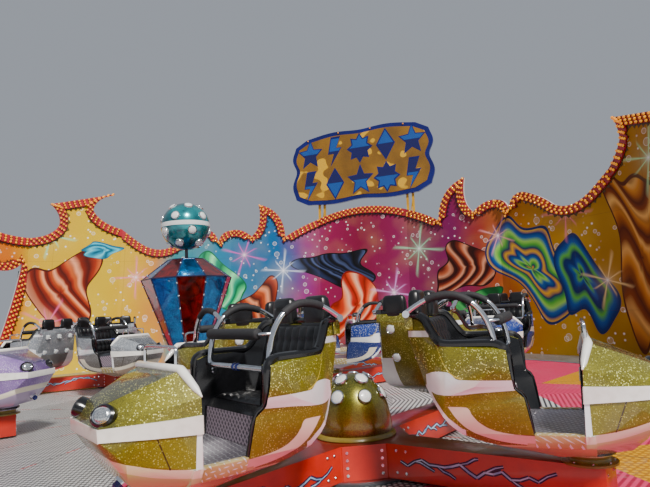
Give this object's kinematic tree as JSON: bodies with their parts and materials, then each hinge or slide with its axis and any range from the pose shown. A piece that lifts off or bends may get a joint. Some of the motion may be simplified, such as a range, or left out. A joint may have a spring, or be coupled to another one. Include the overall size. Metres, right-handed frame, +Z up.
{
  "type": "fairground dance ride with a tilted turntable",
  "caption": "Fairground ride: a tilted turntable with crosses of spinning two-seat cars with lap bars, a round podium, a scenery wall, a mirror pillar and a raised sign.",
  "frame": {"origin": "on the ground under the turntable's centre, on the underside of the base frame", "axes": "+Z up, +Y towards the scenery wall, -Y towards the front steps, +X to the right seen from the front"},
  "size_m": [21.5326, 22.0072, 11.314],
  "materials": {
    "checker_plate": "bare checker plate, lightly scuffed, with painted star bands",
    "dark_steel": "dark grey satin paint",
    "red_paint": "orange-red gloss paint with painted lightning bolts",
    "mirror_facets": "red and blue mirror-like facets with dark seams",
    "teal_metal": "teal metallic with a white band",
    "chrome": "polished chrome tube with black foam grips",
    "wall_paint": "painted board, orange to teal to magenta gloss airbrush blends, red rim",
    "sign_paint": "ochre field with a dark blue rim",
    "yellow_steel": "yellow gloss paint",
    "gold_glitter": "gold glitter gelcoat under clear lacquer, white bands",
    "blue_glitter": "blue glitter gelcoat under clear lacquer, white bands",
    "silver_glitter": "silver glitter gelcoat under clear lacquer, white bands",
    "purple_glitter": "lavender glitter gelcoat under clear lacquer, white bands"
  },
  "bodies": {
    "root": {"base_frame": "dark_steel", "podium": "checker_plate", "front_steps": "checker_plate", "wall_centre": "wall_paint", "wall_inner_left": "wall_paint", "wall_inner_right": "wall_paint", "wall_dip_left": "wall_paint", "wall_dip_right": "wall_paint", "wall_horn_left": "wall_paint", "wall_horn_right": "wall_paint", "wall_wing_left": "wall_paint", "wall_wing_right": "wall_paint", "sign_frame": "yellow_steel", "sign_board": "sign_paint"},
    "turntable": {"turntable_floor": "checker_plate", "turntable_frame": "dark_steel", "centre_pillar": "mirror_facets", "pillar_ball": "teal_metal"},
    "gold_cross": {"gold_cross": "red_paint", "gold_hub_dome": "gold_glitter"},
    "gold_car_1": {"gold_car_1": "gold_glitter"},
    "gold_lap_bar_1": {"gold_lap_bar_1": "chrome"},
    "gold_car_2": {"gold_car_2": "gold_glitter"},
    "gold_lap_bar_2": {"gold_lap_bar_2": "chrome"},
    "gold_car_3": {"gold_car_3": "gold_glitter"},
    "gold_lap_bar_3": {"gold_lap_bar_3": "chrome"},
    "gold_car_4": {"gold_car_4": "gold_glitter"},
    "gold_lap_bar_4": {"gold_lap_bar_4": "chrome"},
    "blue_cross": {"blue_cross": "red_paint", "blue_hub_dome": "blue_glitter"},
    "blue_car_1": {"blue_car_1": "blue_glitter"},
    "blue_lap_bar_1": {"blue_lap_bar_1": "chrome"},
    "blue_car_2": {"blue_car_2": "blue_glitter"},
    "blue_lap_bar_2": {"blue_lap_bar_2": "chrome"},
    "blue_car_3": {"blue_car_3": "blue_glitter"},
    "blue_lap_bar_3": {"blue_lap_bar_3": "chrome"},
    "blue_car_4": {"blue_car_4": "blue_glitter"},
    "blue_lap_bar_4": {"blue_lap_bar_4": "chrome"},
    "silver_cross": {"silver_cross": "red_paint", "silver_hub_dome": "silver_glitter"},
    "silver_car_1": {"silver_car_1": "silver_glitter"},
    "silver_lap_bar_1": {"silver_lap_bar_1": "chrome"},
    "silver_car_2": {"silver_car_2": "silver_glitter"},
    "silver_lap_bar_2": {"silver_lap_bar_2": "chrome"},
    "silver_car_3": {"silver_car_3": "silver_glitter"},
    "silver_lap_bar_3": {"silver_lap_bar_3": "chrome"},
    "silver_car_4": {"silver_car_4": "silver_glitter"},
    "silver_lap_bar_4": {"silver_lap_bar_4": "chrome"},
    "purple_cross": {"purple_cross": "red_paint", "purple_hub_dome": "purple_glitter"},
    "purple_car_1": {"purple_car_1": "purple_glitter"},
    "purple_lap_bar_1": {"purple_lap_bar_1": "chrome"},
    "purple_car_2": {"purple_car_2": "purple_glitter"},
    "purple_lap_bar_2": {"purple_lap_bar_2": "chrome"},
    "purple_car_3": {"purple_car_3": "purple_glitter"},
    "purple_lap_bar_3": {"purple_lap_bar_3": "chrome"},
    "purple_car_4": {"purple_car_4": "purple_glitter"},
    "purple_lap_bar_4": {"purple_lap_bar_4": "chrome"}
  },
  "joints": [
    {"name": "turntable_spin", "type": "hinge", "parent": "root", "child": "turntable", "pos_m": [0, 0, 1.6], "axis": [0, -0.1045, 0.9945], "continuous": true},
    {"name": "gold_cross_spin", "type": "hinge", "parent": "turntable", "child": "gold_cross", "pos_m": [4.22233, -3.15285, 1.26862], "axis": [0, -0.1045, 0.9945], "continuous": true},
    {"name": "gold_car_1_spin", "type": "hinge", "parent": "gold_cross", "child": "gold_car_1", "pos_m": [6.42528, -3.90439, 1.61195], "axis": [0, -0.1045, 0.9945], "continuous": true},
    {"name": "gold_lap_bar_1_hinge", "type": "hinge", "parent": "gold_car_1", "child": "gold_lap_bar_1", "pos_m": [5.14766, -3.99563, 2.7788], "axis": [-0.0244, -0.9942, -0.1045], "range_deg": [0, 70]},
    {"name": "gold_car_2_spin", "type": "hinge", "parent": "gold_cross", "child": "gold_car_2", "pos_m": [4.93387, -1.00588, 1.91659], "axis": [0, -0.1045, 0.9945], "continuous": true},
    {"name": "gold_lap_bar_2_hinge", "type": "hinge", "parent": "gold_car_2", "child": "gold_lap_bar_2", "pos_m": [4.71194, -2.37987, 2.94862], "axis": [0.9848, -0.1727, -0.0182], "range_deg": [0, 70]},
    {"name": "gold_car_3_spin", "type": "hinge", "parent": "gold_cross", "child": "gold_car_3", "pos_m": [2.01939, -2.48912, 1.7607], "axis": [0, -0.1045, 0.9945], "continuous": true},
    {"name": "gold_lap_bar_3_hinge", "type": "hinge", "parent": "gold_car_3", "child": "gold_lap_bar_3", "pos_m": [3.12617, -3.24692, 2.85749], "axis": [0.5, 0.8613, 0.0905], "range_deg": [0, 70]},
    {"name": "gold_car_4_spin", "type": "hinge", "parent": "gold_cross", "child": "gold_car_4", "pos_m": [3.5108, -5.38763, 1.45605], "axis": [0, -0.1045, 0.9945], "continuous": true},
    {"name": "gold_lap_bar_4_hinge", "type": "hinge", "parent": "gold_car_4", "child": "gold_lap_bar_4", "pos_m": [4.18804, -4.43206, 2.73293], "axis": [-0.848, 0.527, 0.0554], "range_deg": [0, 70]},
    {"name": "blue_cross_spin", "type": "hinge", "parent": "turntable", "child": "blue_cross", "pos_m": [3.17022, 4.1992, 2.04135], "axis": [0, -0.1045, 0.9945], "continuous": true},
    {"name": "blue_car_1_spin", "type": "hinge", "parent": "blue_cross", "child": "blue_car_1", "pos_m": [5.11174, 2.90137, 2.32726], "axis": [0, -0.1045, 0.9945], "continuous": true},
    {"name": "blue_lap_bar_1_hinge", "type": "hinge", "parent": "blue_car_1", "child": "blue_lap_bar_1", "pos_m": [5.3556, 4.02672, 3.62198], "axis": [-0.9816, 0.1898, 0.0199], "range_deg": [0, 70]},
    {"name": "blue_car_2_spin", "type": "hinge", "parent": "blue_cross", "child": "blue_car_2", "pos_m": [4.43106, 6.08619, 2.662], "axis": [0, -0.1045, 0.9945], "continuous": true},
    {"name": "blue_lap_bar_2_hinge", "type": "hinge", "parent": "blue_car_2", "child": "blue_lap_bar_2", "pos_m": [5.41006, 5.14691, 3.73972], "axis": [0.6428, 0.7618, 0.0801], "range_deg": [0, 70]},
    {"name": "blue_car_3_spin", "type": "hinge", "parent": "blue_cross", "child": "blue_car_3", "pos_m": [1.2287, 5.40924, 2.59085], "axis": [0, -0.1045, 0.9945], "continuous": true},
    {"name": "blue_lap_bar_3_hinge", "type": "hinge", "parent": "blue_car_3", "child": "blue_lap_bar_3", "pos_m": [0.12192, 4.65144, 3.68764], "axis": [0.5, -0.8613, -0.0905], "range_deg": [0, 70]},
    {"name": "blue_car_4_spin", "type": "hinge", "parent": "blue_cross", "child": "blue_car_4", "pos_m": [1.90938, 2.22442, 2.25611], "axis": [0, -0.1045, 0.9945], "continuous": true},
    {"name": "blue_lap_bar_4_hinge", "type": "hinge", "parent": "blue_car_4", "child": "blue_lap_bar_4", "pos_m": [3.14383, 2.43108, 3.45427], "axis": [-0.2588, 0.9606, 0.101], "range_deg": [0, 70]},
    {"name": "silver_cross_spin", "type": "hinge", "parent": "turntable", "child": "silver_cross", "pos_m": [-4.22233, 3.15285, 1.93138], "axis": [0, -0.1045, 0.9945], "continuous": true},
    {"name": "silver_car_1_spin", "type": "hinge", "parent": "silver_cross", "child": "silver_car_1", "pos_m": [-2.58538, 1.48097, 2.17797], "axis": [0, -0.1045, 0.9945], "continuous": true},
    {"name": "silver_lap_bar_1_hinge", "type": "hinge", "parent": "silver_car_1", "child": "silver_lap_bar_1", "pos_m": [-3.85852, 1.46944, 3.3532], "axis": [-0.0872, -0.9907, -0.1041], "range_deg": [0, 70]},
    {"name": "silver_car_2_spin", "type": "hinge", "parent": "silver_cross", "child": "silver_car_2", "pos_m": [-2.58538, 4.73693, 2.52019], "axis": [0, -0.1045, 0.9945], "continuous": true},
    {"name": "silver_lap_bar_2_hinge", "type": "hinge", "parent": "silver_car_2", "child": "silver_lap_bar_2", "pos_m": [-3.22438, 3.51392, 3.56809], "axis": [0.866, -0.4973, -0.0523], "range_deg": [0, 70]},
    {"name": "silver_car_3_spin", "type": "hinge", "parent": "silver_cross", "child": "silver_car_3", "pos_m": [-5.85929, 4.73693, 2.52019], "axis": [0, -0.1045, 0.9945], "continuous": true},
    {"name": "silver_lap_bar_3_hinge", "type": "hinge", "parent": "silver_car_3", "child": "silver_lap_bar_3", "pos_m": [-5.0378, 3.64099, 3.58144], "axis": [0.766, 0.6393, 0.0672], "range_deg": [0, 70]},
    {"name": "silver_car_4_spin", "type": "hinge", "parent": "silver_cross", "child": "silver_car_4", "pos_m": [-5.85929, 1.48097, 2.17797], "axis": [0, -0.1045, 0.9945], "continuous": true},
    {"name": "silver_lap_bar_4_hinge", "type": "hinge", "parent": "silver_car_4", "child": "silver_lap_bar_4", "pos_m": [-4.58829, 1.22581, 3.3276], "axis": [0.1045, 0.9891, 0.104], "range_deg": [0, 70]},
    {"name": "purple_cross_spin", "type": "hinge", "parent": "turntable", "child": "purple_cross", "pos_m": [-3.17022, -4.1992, 1.15865], "axis": [0, -0.1045, 0.9945], "continuous": true},
    {"name": "purple_car_1_spin", "type": "hinge", "parent": "purple_cross", "child": "purple_car_1", "pos_m": [-1.39683, -5.72301, 1.4208], "axis": [0, -0.1045, 0.9945], "continuous": true},
    {"name": "purple_lap_bar_1_hinge", "type": "hinge", "parent": "purple_car_1", "child": "purple_lap_bar_1", "pos_m": [-2.59775, -6.28001, 2.5387], "axis": [0.342, -0.9345, -0.0982], "range_deg": [0, 70]},
    {"name": "purple_car_2_spin", "type": "hinge", "parent": "purple_cross", "child": "purple_car_2", "pos_m": [-1.68217, -2.47943, 1.76172], "axis": [0, -0.1045, 0.9945], "continuous": true},
    {"name": "purple_lap_bar_2_hinge", "type": "hinge", "parent": "purple_car_2", "child": "purple_lap_bar_2", "pos_m": [-2.91662, -2.93069, 2.89073], "axis": [0.2588, -0.9606, -0.101], "range_deg": [0, 70]},
    {"name": "purple_car_3_spin", "type": "hinge", "parent": "purple_cross", "child": "purple_car_3", "pos_m": [-4.94361, -2.7632, 1.73189], "axis": [0, -0.1045, 0.9945], "continuous": true},
    {"name": "purple_lap_bar_3_hinge", "type": "hinge", "parent": "purple_car_3", "child": "purple_lap_bar_3", "pos_m": [-4.50651, -4.07985, 2.76995], "axis": [0.9397, 0.3401, 0.0358], "range_deg": [0, 70]},
    {"name": "purple_car_4_spin", "type": "hinge", "parent": "purple_cross", "child": "purple_car_4", "pos_m": [-4.65827, -6.00678, 1.39097], "axis": [0, -0.1045, 0.9945], "continuous": true},
    {"name": "purple_lap_bar_4_hinge", "type": "hinge", "parent": "purple_car_4", "child": "purple_lap_bar_4", "pos_m": [-4.01927, -5.02837, 2.67026], "axis": [-0.866, 0.4973, 0.0523], "range_deg": [0, 70]}
  ]
}
